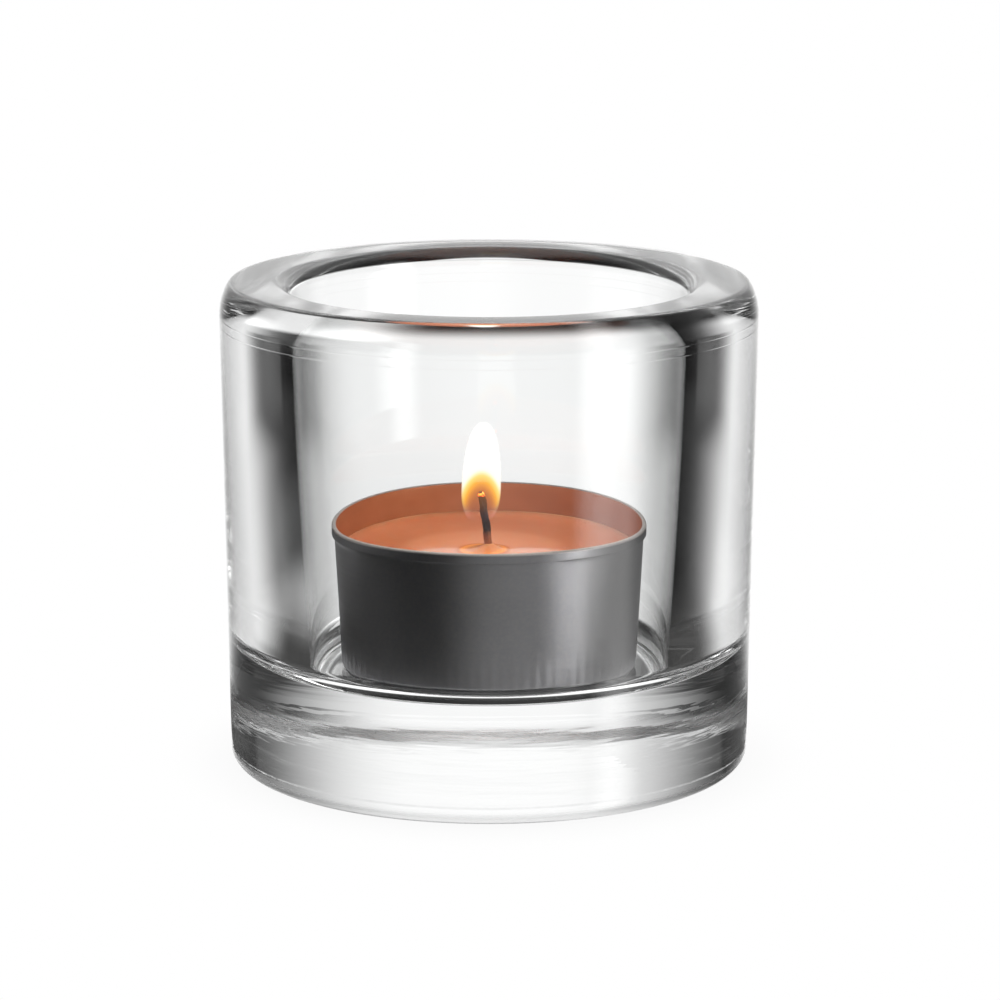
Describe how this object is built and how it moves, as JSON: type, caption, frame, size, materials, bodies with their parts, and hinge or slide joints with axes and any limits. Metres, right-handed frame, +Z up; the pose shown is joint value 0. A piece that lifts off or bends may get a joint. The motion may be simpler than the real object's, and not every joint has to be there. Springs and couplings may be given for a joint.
{
  "type": "tealight holder",
  "caption": "Thick clear-glass tealight holder: a round tumbler with a solid base and soft rim, holding a loose tealight with a metal cup, coloured wax and wick.",
  "frame": {"origin": "centre of the glass's flat underside", "axes": "+Z up along the common axis of the glass and the tealight; the wick leans towards -X"},
  "size_m": [0.0658, 0.0658, 0.06],
  "materials": {
    "clear_glass": "clear, fire-polished, faint flow lines in the base",
    "cup_aluminium": "thin drawn foil, satin, dark grey in reflection",
    "copper_wax": "translucent copper-brown paraffin, molten and glossy on top",
    "charred_wick": "braided cotton, charred above the wax",
    "tinned_steel": "thin pressed tinplate"
  },
  "bodies": {
    "holder": {"glass_body": "clear_glass"},
    "tealight": {"tealight_cup": "cup_aluminium", "wax": "copper_wax", "wick": "charred_wick", "wick_sustainer": "tinned_steel"}
  },
  "joints": [
    {"name": "tealight_lift", "type": "slide", "parent": "holder", "child": "tealight", "axis": [0, 0, 1], "range_m": [0, 0.052]}
  ]
}
